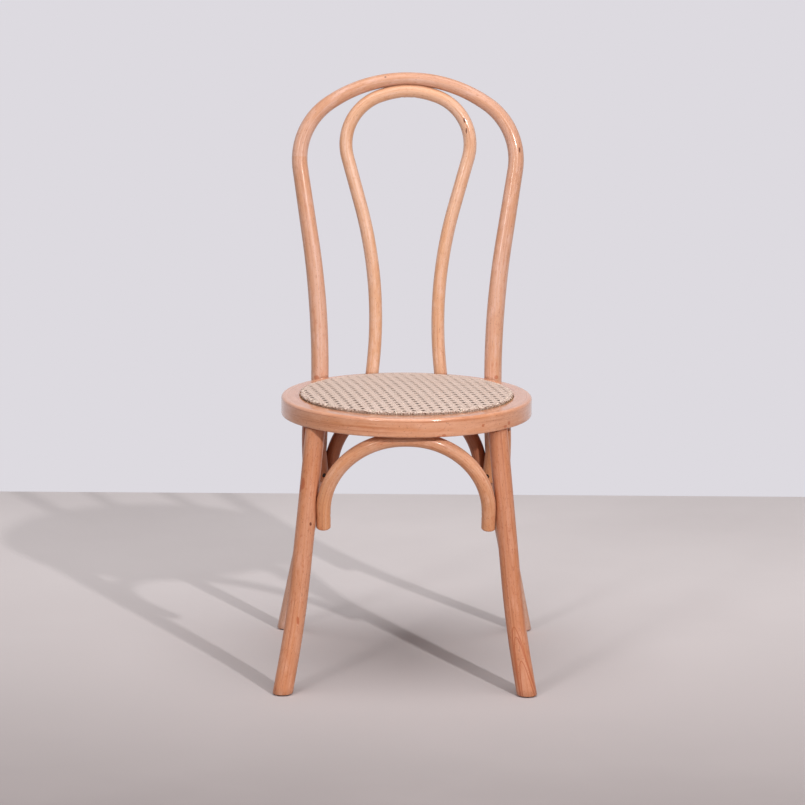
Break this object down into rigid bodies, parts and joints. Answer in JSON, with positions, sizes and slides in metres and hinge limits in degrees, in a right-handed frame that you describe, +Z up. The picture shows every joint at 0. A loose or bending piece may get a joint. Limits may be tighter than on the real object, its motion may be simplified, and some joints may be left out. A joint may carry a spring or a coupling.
{
  "type": "bentwood bistro chair",
  "caption": "Free-standing bentwood chair with a double hoop back, a round woven cane seat, splayed legs and bent arches under the seat.",
  "frame": {"origin": "on the floor, under the middle of the chair's bounding box", "axes": "+Z up, +Y to the rear, where the back leans, +X to the right seen from the front; front is -Y"},
  "size_m": [0.4268, 0.4576, 0.9386],
  "materials": {
    "lacquered_wood": "satin clear lacquer over pale peach bent beech",
    "plywood": "plain plywood",
    "pad_felt": "brown felt over a thin pad, seen only through the weave",
    "woven_cane": "natural woven cane, unvarnished",
    "dark_steel": "darkened steel",
    "glide_nylon": "matt brown nylon"
  },
  "bodies": {
    "root": {"back_hoop": "lacquered_wood", "inner_back_hoop": "lacquered_wood", "seat_ring": "lacquered_wood", "front_leg_left": "lacquered_wood", "front_leg_right": "lacquered_wood", "front_arch": "lacquered_wood", "rear_arch": "lacquered_wood", "left_arch": "lacquered_wood", "right_arch": "lacquered_wood", "seat_board": "plywood", "seat_pad": "pad_felt", "cane_seat": "woven_cane", "arch_end_screws": "dark_steel", "arch_top_screws": "dark_steel", "hoop_crest_screws": "dark_steel", "inner_hoop_foot_screws": "dark_steel", "leg_lock_screws": "dark_steel", "seat_board_screws": "dark_steel", "post_bolts": "dark_steel", "post_washers": "dark_steel", "post_nuts": "dark_steel", "front_left_glide": "glide_nylon", "front_right_glide": "glide_nylon", "rear_left_glide": "glide_nylon", "rear_right_glide": "glide_nylon"}
  },
  "joints": []
}
